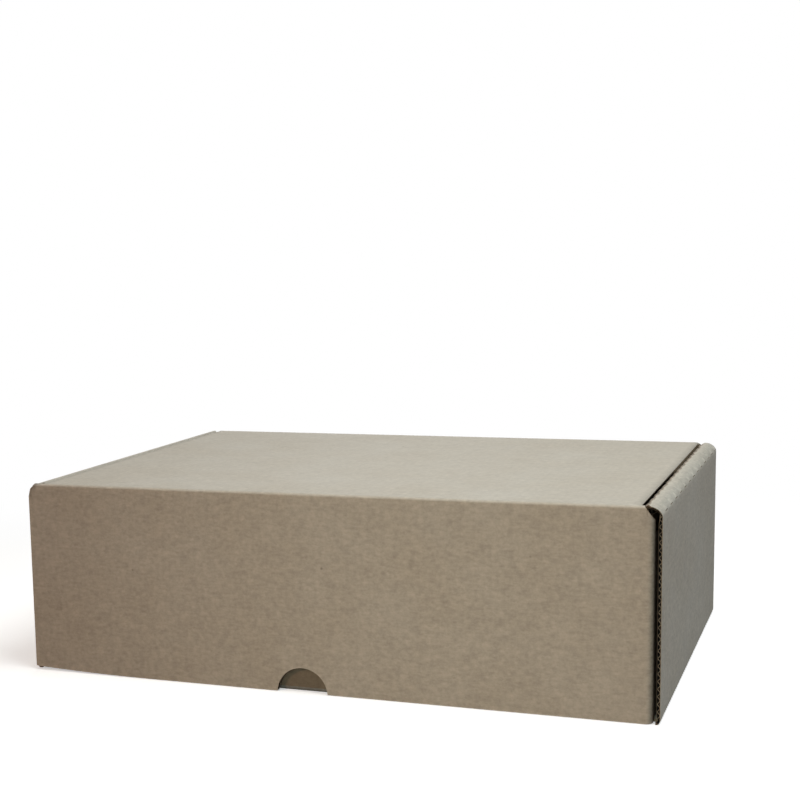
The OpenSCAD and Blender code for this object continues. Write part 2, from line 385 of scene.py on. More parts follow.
def panel(rows, spans, place, open_low=(), open_high=(), open_end=(), along=(0, 1, 0)):
    """Points and faces of a closed shell. spans[i] are the places of row i's points across the
    panel, and place() gives a point's x, y and z. Face kinds: 0 paper, 1 cut edge, 2 hollow."""
    points, faces = [], []
    outer = [[len(spans[0]) * i + j for j in range(len(spans[0]))] for i in range(len(rows))]
    points += [place(p[0], p[1], s) for (p, into, thick), span in zip(rows, spans) for s in span]
    first_inner = len(points)
    points += [place(p[0] + into[0] * thick, p[1] + into[1] * thick, s)
               for (p, into, thick), span in zip(rows, spans) for s in span]
    inner = [[first_inner + v for v in row] for row in outer]
    for grid in (outer, inner):
        faces += [((a[j], a[j + 1], b[j + 1], b[j]), 0)
                  for a, b in zip(grid, grid[1:]) for j in range(len(a) - 1)]
    numbers = range(len(rows))
    for n, opened, inward in ((0, open_low, along), (-1, open_high, tuple(-v for v in along))):
        close_cut(points, faces, [row[n] for row in outer], [row[n] for row in inner],
                  [i in opened for i in numbers], inward)
    for n, opened in ((0, ()), (-1, open_end)):
        close_cut(points, faces, outer[n], inner[n], [j in opened for j in range(len(spans[0]))], (0, 0, 1))
    return points, faces


# %% [markdown]
# A shell becomes an object when its points are settled and turned into metres. The object
# itself stays at the origin, with its place in the mesh, as the CAD nodes do.

# %% Turn points and faces into a piece
SHARP = math.radians(35)


def nowhere(x, y, z):
    return 0.0


def everywhere(x, y, z):
    return 1.0


def piece(name, points, faces, materials, painted_warm_shade=nowhere, painted_light=nowhere):
    """A mesh object from millimetre points, with its normals outward and its folds smooth.
    The last two arguments give for each point its painted warm shade, a browner and darker tint, and its
    painted light: painted shade below 0 and a painted highlight above 0."""
    mesh = bpy.data.meshes.new(name)
    mesh.from_pydata([[c / 1000 for c in settle(*p)] for p in points], [], [f for f, kind in faces])
    for label, amount in (("painted_warm_shade", painted_warm_shade), ("painted_light", painted_light)):
        store = mesh.attributes.new(label, "FLOAT", "POINT")
        store.data.foreach_set("value", [amount(*p) for p in points])
    for material in materials:
        mesh.materials.append(material)
    mesh.polygons.foreach_set("material_index", [min(kind, len(materials) - 1) for f, kind in faces])
    work = bmesh.new()
    work.from_mesh(mesh)
    bmesh.ops.recalc_face_normals(work, faces=work.faces)
    loose = sum(1 for edge in work.edges if len(edge.link_faces) != 2)
    for face in work.faces:
        face.smooth = True
    work.to_mesh(mesh)
    work.free()
    mesh.set_sharp_from_angle(angle=SHARP)
    obj = bpy.data.objects.new(name, mesh)
    bpy.context.scene.collection.objects.link(obj)
    print(f"{name}: {len(mesh.polygons)} faces, {loose} open edges")
    return obj


# %% [markdown]
# ## The lid and the front flap
# On the real box the lid, its rounded front fold and the flap are one piece of paper, so the
# render must show no seam there. They are one shell, which starts at the top of the back wall.
# The thumb notch is the one curved cut: the columns of points crowd round it, and the foot of
# the flap follows its arc.

# %% Columns across the lid, crowded at the notch
NOTCH_X = -10.0
NOTCH_R = 12.0
NOTCH_Z = FLAP_FOOT - 0.5
PLATE_X = FLAP_X - EAR_FOLD_R
LEFT_PLATE_X = FLAP_X - LEFT_FOLD_R
INNER_COLUMN = 137.0
LIFT_STARTS, LIFT_LENGTH = -85, 62
EDGE_SHARES = (0.5, 0.7, 0.85, 1.0)


def evenly(low, high, steps):
    return [low + (high - low) * n / steps for n in range(steps + 1)]


def flap_foot(x):
    """Height of the flap's lower edge, which rises over the thumb notch and at the left end."""
    inside = NOTCH_R ** 2 - (x - NOTCH_X) ** 2
    if inside > 0:
        return max(FLAP_FOOT, NOTCH_Z + math.sqrt(inside))
    return FLAP_FOOT + LEFT_END_LIFTS * max(0.0, (LIFT_STARTS - x) / LIFT_LENGTH) ** 2


arc_columns = [NOTCH_X - NOTCH_R * math.cos(math.pi * n / 44) for n in range(45)]
columns = [x for x in evenly(-INNER_COLUMN, INNER_COLUMN, 70) if abs(x - NOTCH_X) > NOTCH_R + 0.8]
columns = sorted(columns + arc_columns + [NOTCH_X - NOTCH_R - 0.5, NOTCH_X + NOTCH_R + 0.5])


def across_lid(left_half, right_half):
    """The columns, with a few more on each side that reach the edge of the row."""
    left, right = ([INNER_COLUMN + (half - INNER_COLUMN) * share for share in EDGE_SHARES]
                   for half in (left_half, right_half))
    return [-x for x in reversed(left)] + columns + right


print("columns across the lid:", len(across_lid(LID_X, LID_X)))

# %% The lid, the front fold and the flap as one shell
PLATE_TOP = TOP - LID_FOLD_R
LID_FRONT = FRONT + LID_FOLD_R
BACK_FOLD_SPREADS = 1.0
EDGE_PRESSED, PRESSED_WIDTH = 0.35, 1.5
lid_line = join(
    run((BACK, WALL_TOP), (BACK, TOP - FOLD_R), 1, (-1, 0)),
    bend((BACK - FOLD_R, TOP - FOLD_R), FOLD_R, 0, 90, 8),
    run((BACK - FOLD_R, TOP), (LID_FRONT + 0.15, TOP), 46, (0, -1)),
    bend((LID_FRONT, PLATE_TOP), LID_FOLD_R, 90, 180, 8, 1.0),
    run((FRONT, PLATE_TOP), (FRONT, FLAP_FOOT + 0.7), 26, (1, 0)),
    run((FRONT, FLAP_FOOT + 0.7), (FRONT, FLAP_FOOT), 1, (1, 0)),
)


def on_lid(y):
    return y > LID_FRONT + 0.05


def lid_half_width(y, z, plate_x, shoulder_x):
    """How far the row through a point of the lid's line reaches to one side. The flap's rows end
    where the ear's fold starts, and those at its top follow the slope of the shoulder."""
    if y > BACK - FOLD_R - HAIR:
        return LID_X + BACK_FOLD_SPREADS
    return LID_X if on_lid(y) else min(plate_x, shoulder_x + (TOP - z) / SHOULDER_SLOPE)


def below_fold(z):
    """0 at the lower end of the front fold, and 1 from 4 mm below it, where the bulge is whole."""
    return min(1.0, max(0.0, PLATE_TOP - z) / 4)


def place_lid(y, z, x):
    """Stretches the flap's rows to its foot, with its left end bulging, and on the lid presses
    the side edges down a little and spreads the right one towards the front."""
    if y < 0 and z < PLATE_TOP:
        z = PLATE_TOP - (PLATE_TOP - z) * (PLATE_TOP - flap_foot(x)) / (PLATE_TOP - FLAP_FOOT)
        x += LEFT_END_BULGES * min(0.0, x / LEFT_PLATE_X) * below_fold(z)
    elif on_lid(y):
        z -= EDGE_PRESSED * max(0.0, 1 - (LID_X - abs(x)) / PRESSED_WIDTH) ** 2
        x += LID_SPREADS * max(0.0, x / LID_X) * (BACK - y) / (2 * BACK)
    return x, y, z


# %% Painted shade and highlight of the lid and the flap
# The foot gets a painted highlight; the lid's side edges and the left shoulder get painted shade.
LID_EDGE_SHADE, CORNER_SHADE, FOOT_HIGHLIGHT = -1.4, -2.5, 1.0


def flap_painted_warm_shade(x, y, z):
    """The outside of the flap is painted browner and darker than the lid, as painted warm shade on the front.
    The change lies on the fold.
    """
    return 0.0 if on_lid(y) else min(1.0, (TOP - z) / LID_FOLD_R)


def flap_painted_light(x, y, z):
    """A painted highlight along the cut at the foot, and painted shade at the lid's pressed side edges and at
    the cut of the left shoulder."""
    if on_lid(y):
        if z <= TOP - BOARD / 2:
            return 0.0
        return LID_EDGE_SHADE * max(0.0, 1 - (LID_X - LID_SLIPS / 2 - abs(x)) / 3)
    to_corner = LEFT_SHOULDER_X + LID_SLIPS + (TOP - z) / SHOULDER_SLOPE + x
    if x < -SHOULDER_X and to_corner < 1.5:
        return CORNER_SHADE
    return FOOT_HIGHLIGHT if z < flap_foot(x + LID_SLIPS) + 0.15 else 0.0


lid_spans = [across_lid(lid_half_width(*p, LEFT_PLATE_X, LEFT_SHOULDER_X),
                        lid_half_width(*p, PLATE_X, SHOULDER_X)) for p, into, thick in lid_line]
foot_columns = range(len(EDGE_SHARES), len(lid_spans[0]) - len(EDGE_SHARES))
lid_points, lid_faces = panel(lid_line, lid_spans, place_lid, open_end=foot_columns, along=(1, 0, 0))
lid_and_front = piece("lid_and_front", slipped(lid_points), lid_faces, [paper_panel, cut_edge, flute_shadow],
                      flap_painted_warm_shade, flap_painted_light)

# %% [markdown]
# ## The ears
# At each side of the flap the board folds back into an ear, which slides between the layers of
# the rolled wall. Its lower edge is an arc round the crease, so that it clears the bottom as
# the flap swings. An ear could be cut to that arc with a boolean, but rows whose heights follow
# it give the same edge with clean quads. Both ears are drawn on the right, with a soft fold or a
# sharp one, and the one with the sharp fold is then mirrored.

# %% Both ears
HINGE_Y, HINGE_Z = FRONT + BOARD / 2, TOP - BOARD / 2
EAR_SWING = HINGE_Z - BOARD - 1.2
EAR_BOARD = 1.5
EAR_DROP, EAR_SLOPE = 11, 5
EAR_FOLD_SHADE = -4


def ear_span(x, y, fold_r, shoulder_x):
    """Heights of the points of one row of the ear."""
    if y <= FRONT + fold_r:
        return evenly(FLAP_FOOT, TOP - SHOULDER_SLOPE * (x - shoulder_x), 24)
    low = HINGE_Z - math.sqrt(EAR_SWING ** 2 - (y - HINGE_Y) ** 2)
    return evenly(low, TOP - EAR_DROP - EAR_SLOPE * (y - FRONT - fold_r) / (EAR_END - FRONT - fold_r), 24)


def ear(fold_r, shoulder_x):
    """Points and faces of an ear on the right."""
    line = join(
        bend((FLAP_X - fold_r, FRONT + fold_r), fold_r, -90, 0, 10, min(1.4, fold_r - 0.1)),
        run((FLAP_X, FRONT + fold_r + 0.2), (FLAP_X, EAR_END), 16, (-1, 0), EAR_BOARD),
    )
    opened = range(12, len(line) - 1)
    return panel(line, [ear_span(*p, fold_r, shoulder_x) for p, into, thick in line], as_drawn,
                 open_low=opened, open_high=opened, along=(0, 0, 1))


def mirrored(points):
    """The left ear's points. It starts further out and higher, as the flap's left end does."""
    turned = []
    for x, y, z in points:
        fade = max(0.0, 1 - (y - FRONT) / LEFT_END_DEPTH)
        lift = LEFT_END_LIFTS * fade * (1 - z / TOP)
        out = LEFT_END_BULGES * fade * below_fold(z)
        turned.append((-x - out, y, z + lift))
    return turned


def ear_shade(x, y, z):
    """Painted shade on the fold of an ear, darker than the flap, down into the gap beside the wall."""
    round_fold = min(1.0, max(0.0, (abs(x) - PLATE_X + 0.5) / 3)) ** 2
    return EAR_FOLD_SHADE * round_fold * min(1.0, max(0.0, -y - 80) / 8)


# Both ears get the flap's painted warm shade all over, and the right one also gets painted shade at its fold.
ear_papers = [paper_panel, cut_edge, flute_shadow]
ear_points, ear_faces = ear(EAR_FOLD_R, SHOULDER_X)
ear_right = piece("ear_right", slipped(ear_points), ear_faces, ear_papers, everywhere, ear_shade)
ear_points, ear_faces = ear(LEFT_FOLD_R, LEFT_SHOULDER_X)
ear_left = piece("ear_left", slipped(mirrored(ear_points)), ear_faces, ear_papers, everywhere)

# %% [markdown]
# ## The rolled side walls
# Each side wall rises from the bottom to a perforated crease, goes over in a soft arch, and
# folds down again as the inner wall. Seen from the front it is a hook. A flat grid with a
# Solidify modifier could be bent into it, but crushed board is thinner than the rest, so it is
# one line of rows, each with its own thickness, drawn out along the depth. Between its cuts the
# board at a crease stays whole and bulges, which gives the seam beside the lid its row of small
# round teeth.

# %% Where the perforations lie
OUTER_PITCH, OUTER_FIRST, OUTER_COUNT, OUTER_CUT = 14.5, -82.9, 13, 5.5
INNER_PITCH, INNER_FIRST, INNER_COUNT, INNER_CUT = 11.5, -80.5, 15, 4.0
TOOTH, SMALL_TOOTH = 1.0, 0.2


def bulge(y, first, pitch):
    """1 midway between two cuts and 0 at a cut."""
    return 0.5 - 0.5 * math.cos(2 * math.pi * (y - first) / pitch)


print("cuts on each roll:", OUTER_COUNT, "outside and", INNER_COUNT, "inside")

# %% The line of a side wall
ARCH_R = 6.2
ARCH_TURN = 60
CREASE_X = HALF_W - 0.15
CREASE_Z = ROLL_TOP - ARCH_R * (1 - math.cos(math.radians(ARCH_TURN)))
ARCH_TOP_X = CREASE_X - ARCH_R * math.sin(math.radians(ARCH_TURN))
wall_line = join(
    bend((HALF_W - FOLD_R, FOLD_R), FOLD_R, -90, 0, 8),
    run((HALF_W, FOLD_R), (HALF_W, CREASE_Z - 1.5), 28, (-1, 0)),
    run((HALF_W, CREASE_Z - 1.5), (HALF_W, CREASE_Z - 0.5), 1, (-1, 0), 1.2),
    bend((ARCH_TOP_X, ROLL_TOP - ARCH_R), ARCH_R, 90 - ARCH_TURN, 90, 12, 0.8),
    run((ARCH_TOP_X - 0.05, ROLL_TOP), (ROLL_IN_X + FOLD_R, ROLL_TOP), 1, (0, -1), 1.0),
    bend((ROLL_IN_X + FOLD_R, ROLL_TOP - FOLD_R), FOLD_R, 90, 180, 8, 1.2),
    run((ROLL_IN_X, ROLL_TOP - FOLD_R), (ROLL_IN_X, BOARD + LAYER_GAP), 12, (1, 0)),
)
print("the line of a side wall has", len(wall_line), "rows")


def on_inner_wall(x, z):
    return x < ROLL_IN_X + FOLD_R + HAIR and z < ROLL_TOP - 0.001


def wall_span(x, z, front_end):
    """Places along the depth of the points of one row. The inner rows stop short of the ends."""
    low, high = front_end, WALL_END
    if on_inner_wall(x, z):
        low, high = INNER_FRONT_Y, INNER_BACK_Y
    elif z > CREASE_Z:
        low = max(front_end, STRIP_FRONT_Y - 1.6 * (x - ARCH_TOP_X))
    return evenly(low, high, 190)


# %% Painted shade and highlight of a side wall
# The mouth and the seam get painted shade, and the outer cuts get a painted highlight.
MOUTH_SHADE, CUT_HIGHLIGHT, SEAM_SHADE = -5.5, 1.2, -3.2
MOUTH_DEPTH = 8


def cut_mark(y):
    """1 in the middle of a cut of the outer crease, and 0 between two cuts."""
    return max(0.0, math.cos(2 * math.pi * (y - OUTER_FIRST) / OUTER_PITCH) - 0.35) / 0.65


def seam_shade_band(x, y, z):
    """1 on the band of painted shade, tinted brown, beside the right seam, which ends in scallops, and 0
    elsewhere.
    """
    scallop = ROLL_IN_X + 0.8 + 1.1 * bulge(y, INNER_FIRST, INNER_PITCH)
    return 1.0 if 0 < x < scallop else 0.0


def wall_shade(x, y, z):
    """Painted shade in the mouth of the roll and on the band beside the right seam, and a painted highlight
    at the outer cuts.
    """
    from_arch = math.dist((abs(x), z), (ARCH_TOP_X, ROLL_TOP - ARCH_R))
    in_arch = z >= CREASE_Z - 0.4 and from_arch < ARCH_R - 0.4
    in_wall = z < CREASE_Z - 0.4 and abs(x) < HALF_W - BOARD + LINER + 0.05
    if abs(x) > ROLL_IN_X + 1 and y < MOUTH_DEPTH - WALL_END and (in_wall or in_arch):
        return MOUTH_SHADE
    if from_arch > ARCH_R - 0.4 and z > CREASE_Z - 1.2 and abs(x) > CREASE_X - 1.6:
        return CUT_HIGHLIGHT * cut_mark(y)
    return SEAM_SHADE * seam_shade_band(x, y, z)


# %% Both side walls
def side_wall(name, side, tooth, front_end, crush, open_front):
    """One rolled wall. tooth is how far its inner crease bulges, crush is how much of its board
    is pressed flat at the front end, and open_front shows the flutes there."""
    def place(x, z, y):
        if x > HALF_W - BOARD - HAIR and z < CREASE_Z - 1.5:
            x = HALF_W - (HALF_W - x) * (1 - crush * max(0.0, 1 - (y - front_end) / LEFT_END_DEPTH))
        elif abs(x - CREASE_X) < 0.6 and abs(z - CREASE_Z) < 1.1:
            x -= SMALL_TOOTH * bulge(y, OUTER_FIRST, OUTER_PITCH)
        elif ROLL_TOP - FOLD_R - HAIR < z and x < ROLL_IN_X + FOLD_R:
            x -= tooth * bulge(y, INNER_FIRST, INNER_PITCH) * (ROLL_IN_X + FOLD_R - x) / FOLD_R
        return side * x, y, z

    cut_rows = [i for i, (p, into, thick) in enumerate(wall_line)
                if p[0] > ARCH_TOP_X + 0.9 and p[1] > 0.3]
    points, faces = panel(wall_line, [wall_span(*p, front_end) for p, into, thick in wall_line], place,
                          open_low=cut_rows if open_front else (), open_high=cut_rows)
    return piece(name, points, faces, [paper_side, cut_edge, flute_shadow], seam_shade_band, wall_shade)


LEFT_SET_BACK, LEFT_CRUSH = 2.4, 0.7
side_wall_right = side_wall("side_wall_right", 1, TOOTH, -WALL_END, 0, True)
side_wall_left = side_wall("side_wall_left", -1, SMALL_TOOTH, -WALL_END + LEFT_SET_BACK, LEFT_CRUSH, False)

# %% [markdown]
# ## Perforations with Geometry Nodes
# Each crease of a roll is cut through in short dashes, all alike and evenly spaced. That is
# what Geometry Nodes are for: a line of points, a cutter on each point, and one boolean. The
# same tree also cuts the slots in the bottom for the locking tabs.

# %% A tree that cuts a row of slots
def new_tree(name, numbers):
    """A geometry tree with a geometry input, the named inputs and a geometry output."""
    tree = bpy.data.node_groups.new(name, "GeometryNodeTree")
    tree.interface.new_socket("Geometry", in_out="INPUT", socket_type="NodeSocketGeometry")
    for label, kind in numbers:
        tree.interface.new_socket(label, in_out="INPUT", socket_type=kind)
    tree.interface.new_socket("Geometry", in_out="OUTPUT", socket_type="NodeSocketGeometry")
    return tree, wire(tree, "NodeGroupInput")


row_of_cuts, given = new_tree("row_of_cuts", [
    ("Count", "NodeSocketInt"), ("First", "NodeSocketVector"), ("Step", "NodeSocketVector"),
    ("Cut size", "NodeSocketVector"), ("Turn", "NodeSocketVector")])
dots = wire(row_of_cuts, "GeometryNodeMeshLine", {
    "Count": given.outputs["Count"], "Start Location": given.outputs["First"],
    "Offset": given.outputs["Step"]})
cutter = wire(row_of_cuts, "GeometryNodeMeshCube", {"Size": given.outputs["Cut size"]})
cutters = wire(row_of_cuts, "GeometryNodeInstanceOnPoints", {
    "Points": dots.outputs[0], "Instance": cutter.outputs[0], "Rotation": given.outputs["Turn"]})
raw_cutters = wire(row_of_cuts, "GeometryNodeSetMaterial", {
    "Geometry": wire(row_of_cuts, "GeometryNodeRealizeInstances", {0: cutters.outputs[0]}).outputs[0],
    "Material": cut_edge})
sliced = wire(row_of_cuts, "GeometryNodeMeshBoolean", {0: given.outputs["Geometry"]},
              operation="DIFFERENCE", solver="EXACT")
row_of_cuts.links.new(raw_cutters.outputs[0], sliced.inputs[1])
whole = wire(row_of_cuts, "GeometryNodeRealizeInstances", {0: sliced.outputs[0]})
from_cutter = wire(row_of_cuts, "GeometryNodeMaterialSelection", {0: cut_edge})
stained = wire(row_of_cuts, "GeometryNodeSetMaterial", {
    "Geometry": whole.outputs[0], "Selection": from_cutter.outputs[0], "Material": cut_edge})
wire(row_of_cuts, "NodeGroupOutput", {0: stained.outputs[0]})
print("tree", row_of_cuts.name, "with", len(row_of_cuts.nodes), "nodes")


# %% Run a tree on a piece and keep the plain mesh
def grow(obj, tree, values):
    """Runs a geometry tree with the given inputs, and puts the plain mesh back on the object."""
    modifier = obj.modifiers.new(tree.name, "NODES")
    modifier.node_group = tree
    sockets = {s.name: s.identifier for s in tree.interface.items_tree if s.in_out == "INPUT"}
    for label, value in values.items():
        modifier[sockets[label]] = value
    graph = bpy.context.evaluated_depsgraph_get()
    mesh = bpy.data.meshes.new_from_object(obj.evaluated_get(graph))
    if not mesh.polygons:
        raise RuntimeError(f"{tree.name} left nothing of {obj.name}")
    obj.modifiers.clear()
    obj.data = mesh
    mesh.set_sharp_from_angle(angle=SHARP)
    print(f"{obj.name}: {tree.name} gives {len(mesh.polygons)} faces")
    return obj


def cut_row(obj, first, step, count, size, turn):
    """Cuts a row of slots, with its lengths in millimetres and its turn in radians."""
    grow(obj, row_of_cuts, {
        "Count": count, "First": [c / 1000 for c in first], "Step": [c / 1000 for c in step],
        "Cut size": [c / 1000 for c in size], "Turn": turn})


# %% Perforate both creases of both rolls
CUTTER_REACH = 3
CORNER_REACH = FOLD_R * (1 - math.sqrt(0.5))


def perforate(sheet, x, z, first, pitch, count, length, opening, tilt):
    """Cuts one crease, where the settled wall has it. tilt turns the cuts into the board."""
    cut_row(sheet, settle(x, first, z), (0, pitch, 0), count, (CUTTER_REACH, length, opening),
            (0, math.radians(tilt), 0))


for sheet, side, outer_opening, inner_opening in (
        (side_wall_right, 1, 0.3, 0.5), (side_wall_left, -1, 1.1, 0.25)):
    perforate(sheet, side * CREASE_X, CREASE_Z,
              OUTER_FIRST, OUTER_PITCH, OUTER_COUNT, OUTER_CUT, outer_opening, -side * 20)
    perforate(sheet, side * (ROLL_IN_X + CORNER_REACH), ROLL_TOP - CORNER_REACH,
              INNER_FIRST, INNER_PITCH, INNER_COUNT, INNER_CUT, inner_opening, side * 45)

# %% [markdown]
# ## The front wall, the back wall and the bottom
# Seen from above, the front wall and the back wall each turn back at both ends into corner
# flaps, which stand inside the rolls. Most of that is hidden, but the front wall shows through
# the thumb notch and when the flap is open, and the back wall is the whole rear view. Flat
# boxes could stand for them, but they would show a seam at each fold, so each wall is one line
# of rows, seen from above. The hidden layers are pressed thinner than the rest, as they are
# where a real box packs them into a roll.

# %% A wall with its two corner flaps
CORNER_LENGTH, CORNER_TAPER = 58, 6
PRESSED_BOARD = 1.05


def wall_with_corner_flaps(name, corner_x, face_y, way, paper, flap_board):
    """The wall's outer face is at face_y, and its flaps turn back, 1 to the rear or -1 to the
    front."""
    end_y, fold_y = face_y + way * CORNER_LENGTH, face_y + way * FOLD_R
    half = join(
        run((corner_x, end_y), (corner_x, fold_y), 10, (-1, 0), flap_board),
        bend((corner_x - FOLD_R, fold_y), FOLD_R, 0, -90 * way, 6, min(1.4, flap_board)),
    )
    other = [((-x, y), (-into[0], into[1]), thick) for (x, y), into, thick in reversed(half)]
    line = join(half, run(half[-1][0], other[0][0], 60, (0, way)), other)

    def heights(x, y):
        free = max(0.0, abs(y - face_y) - FOLD_R) / (CORNER_LENGTH - FOLD_R)
        if abs(x) < corner_x - FOLD_R + HAIR and abs(y - face_y) < HAIR:
            return evenly(FOLD_R, WALL_TOP, 20)
        return evenly(FOLD_R + CORNER_TAPER * free, CORNER_TOP - CORNER_TAPER * free, 20)

    points, faces = panel(line, [heights(*p) for p, into, thick in line], as_drawn, along=(0, 0, 1))
    return piece(name, points, faces, [paper, cut_edge])


# The front wall's paper is darker than the rest, as painted shade under the flap.
front_wall = wall_with_corner_flaps(
    "front_wall", FLAP_X - LID_SLIPS - EAR_BOARD - 0.15, FRONT_WALL_Y, 1, paper_painted_shade, PRESSED_BOARD)
back_wall = wall_with_corner_flaps(
    "back_wall", HALF_W - BOARD - LAYER_GAP, BACK, -1, paper_panel, BOARD)

# %% The bottom with its front and rear folds
bottom_line = join(
    bend((FRONT_WALL_Y + FOLD_R, FOLD_R), FOLD_R, 180, 270, 8),
    run((FRONT_WALL_Y + FOLD_R, 0), (BACK - FOLD_R, 0), 46, (0, 1)),
    bend((BACK - FOLD_R, FOLD_R), FOLD_R, 270, 360, 8),
)


FRONT_INSET, BACK_INSET = 4.7, 1.95
FRONT_FOLD_SHADE = -4.0


def on_front_fold(y):
    return y < FRONT_WALL_Y + FOLD_R - HAIR


def fold_shade(x, y, z):
    """Painted shade on the front fold, as dark as the painted shade of the front wall that it turns into."""
    return FRONT_FOLD_SHADE if on_front_fold(y) else 0.0


bottom_spans = []
for (y, z), into, thick in bottom_line:
    back_inset = BACK_INSET if y > BACK - FOLD_R + HAIR else 0
    half = HALF_W - FOLD_R - (FRONT_INSET if on_front_fold(y) else 0) - back_inset
    bottom_spans.append(evenly(-half, half, 60))
bottom_points, bottom_faces = panel(bottom_line, bottom_spans, lambda y, z, x: (x, y, z), along=(1, 0, 0))
bottom = piece("bottom", bottom_points, bottom_faces, [paper_panel, cut_edge], nowhere, fold_shade)

# %% [markdown]
# The inner walls end in locking tabs, which stand in slots near the edge of the bottom. The
# row-of-cuts tree makes the slots, two on each side, and four small blocks of board are the
# tabs.

# %% Slots and locking tabs
TAB_W, TAB_SPREAD = 28.0, 42.0
for side in (1, -1):
    cut_row(bottom, settle(side * (ROLL_IN_X + BOARD / 2), -TAB_SPREAD, BOARD / 2),
            (0, 2 * TAB_SPREAD, 0), 2,
            (BOARD + 2 * LAYER_GAP, TAB_W + 2 * LAYER_GAP, 2 * BOARD), (0, 0, 0))


def add_block(points, faces, low, high):
    """One box of board. Its two broad faces are paper and the rest are cut edges."""
    first = len(points)
    points += [(x, y, z) for x in (low[0], high[0]) for y in (low[1], high[1]) for z in (low[2], high[2])]
    for corners, kind in (((0, 1, 3, 2), 0), ((4, 6, 7, 5), 0), ((0, 4, 5, 1), 1),
                          ((2, 3, 7, 6), 1), ((0, 2, 6, 4), 1), ((1, 5, 7, 3), 1)):
        faces.append((tuple(first + c for c in corners), kind))


tab_points, tab_faces = [], []
for side in (1, -1):
    for y in (-TAB_SPREAD, TAB_SPREAD):
        edges = sorted((side * ROLL_IN_X, side * (ROLL_IN_X + BOARD)))
        add_block(tab_points, tab_faces, (edges[0], y - TAB_W / 2, LAYER_GAP),
                  (edges[1], y + TAB_W / 2, BOARD + LAYER_GAP))
locking_tabs = piece("locking_tabs", tab_points, tab_faces, [paper_side, cut_edge])

# %% [markdown]
# ## The waved paper in the open edges
# The pocket between the two papers needs the wave that makes board corrugated: 28 arches over
# the height of a side wall. Its arches could be modelled one by one, but they all follow one
# rule, which suits Geometry Nodes. Each wave starts as a plain line of points that carry how
# many turns of the wave have passed and which way is across and into the board. The tree bends
# the line into a wave, draws it into the board and gives the paper its thickness.

# %% A tree that makes waved paper
wave_tree, given = new_tree("waved_paper_in_an_edge", [
    ("Height of wave", "NodeSocketFloat"), ("Depth", "NodeSocketFloat"), ("Thickness", "NodeSocketFloat")])


def stored(kind, label):
    """An attribute that the line of points carries."""
    node = wire(wave_tree, "GeometryNodeInputNamedAttribute", data_type=kind)
    node.inputs["Name"].default_value = label
    return node.outputs["Attribute"]


phase = wire(wave_tree, "ShaderNodeMath", {
    0: stored("FLOAT", "turns"), 1: 2 * math.pi}, operation="MULTIPLY")
swing = wire(wave_tree, "ShaderNodeMath", {0: phase.outputs[0]}, operation="SINE")
height = wire(wave_tree, "ShaderNodeMath", {
    0: swing.outputs[0], 1: given.outputs["Height of wave"]}, operation="MULTIPLY")
shift = wire(wave_tree, "ShaderNodeVectorMath", {
    0: stored("FLOAT_VECTOR", "across"), "Scale": height.outputs[0]}, operation="SCALE")
waved = wire(wave_tree, "GeometryNodeSetPosition", {
    "Geometry": given.outputs["Geometry"], "Offset": shift.outputs[0]})
ribbon = wire(wave_tree, "GeometryNodeExtrudeMesh", {
    "Mesh": waved.outputs[0], "Offset": stored("FLOAT_VECTOR", "inward"),
    "Offset Scale": given.outputs["Depth"]}, mode="EDGES")
thick = wire(wave_tree, "GeometryNodeExtrudeMesh", {
    "Mesh": ribbon.outputs[0], "Offset Scale": given.outputs["Thickness"], "Individual": False}, mode="FACES")
underside = wire(wave_tree, "GeometryNodeFlipFaces", {0: ribbon.outputs[0]})
closed = wire(wave_tree, "GeometryNodeJoinGeometry", {0: thick.outputs[0]})
wave_tree.links.new(underside.outputs[0], closed.inputs[0])
merged = wire(wave_tree, "GeometryNodeMergeByDistance", {"Geometry": closed.outputs[0], "Distance": 1e-6})
real = wire(wave_tree, "GeometryNodeRealizeInstances", {0: merged.outputs[0]})
painted = wire(wave_tree, "GeometryNodeSetMaterial", {"Geometry": real.outputs[0], "Material": waved_paper})
wire(wave_tree, "NodeGroupOutput", {0: painted.outputs[0]})
print("tree", wave_tree.name, "with", len(wave_tree.nodes), "nodes")


# %% Lines along the open edges
WAVE_DEPTH = 0.5
WAVE_SUNK = 0.15


def edge_line(points, across, inward, turns):
    """Points of one open edge with the wave's turns at each."""
    return [(p, across, inward, t) for p, t in zip(points, turns)]


def waves(name, lines):
    """One piece of waved paper from several lines of points."""
    mesh = bpy.data.meshes.new(name)
    flat = [row for line in lines for row in line]
    edges, first = [], 0
    for line in lines:
        edges += [(first + n, first + n + 1) for n in range(len(line) - 1)]
        first += len(line)
    mesh.from_pydata([[c / 1000 for c in settle(*p)] for p, a, i, t in flat], edges, [])
    for label, kind, column in (
            ("across", "FLOAT_VECTOR", 1), ("inward", "FLOAT_VECTOR", 2), ("turns", "FLOAT", 3)):
        store = mesh.attributes.new(label, kind, "POINT")
        values = [row[column] for row in flat]
        if kind == "FLOAT":
            store.data.foreach_set("value", values)
        else:
            store.data.foreach_set("vector", [c for v in values for c in v])
    obj = bpy.data.objects.new(name, mesh)
    bpy.context.scene.collection.objects.link(obj)
    return grow(obj, wave_tree, {
        "Height of wave": (BOARD / 2 - LINER - FLUTING / 2) / 1000, "Depth": WAVE_DEPTH / 1000,
        "Thickness": FLUTING / 1000})


# %% Waves of the side walls, the flap and the ears
def stretch(low, high):
    """Evenly spaced places, ten to a flute."""
    return evenly(low, high, round(10 * (high - low) / FLUTE))


wall_lines = []
heights = stretch(FOLD_R, CREASE_Z - 0.8)
for side, end in ((1, -1), (1, 1), (-1, 1)):
    middle = [(side * (HALF_W - BOARD / 2), end * (WALL_END - WAVE_SUNK), z) for z in heights]
    wall_lines.append(edge_line(middle, (1, 0, 0), (0, -end, 0), [z / FLUTE for z in heights]))
wall_waves = waves("wall_waves", wall_lines)

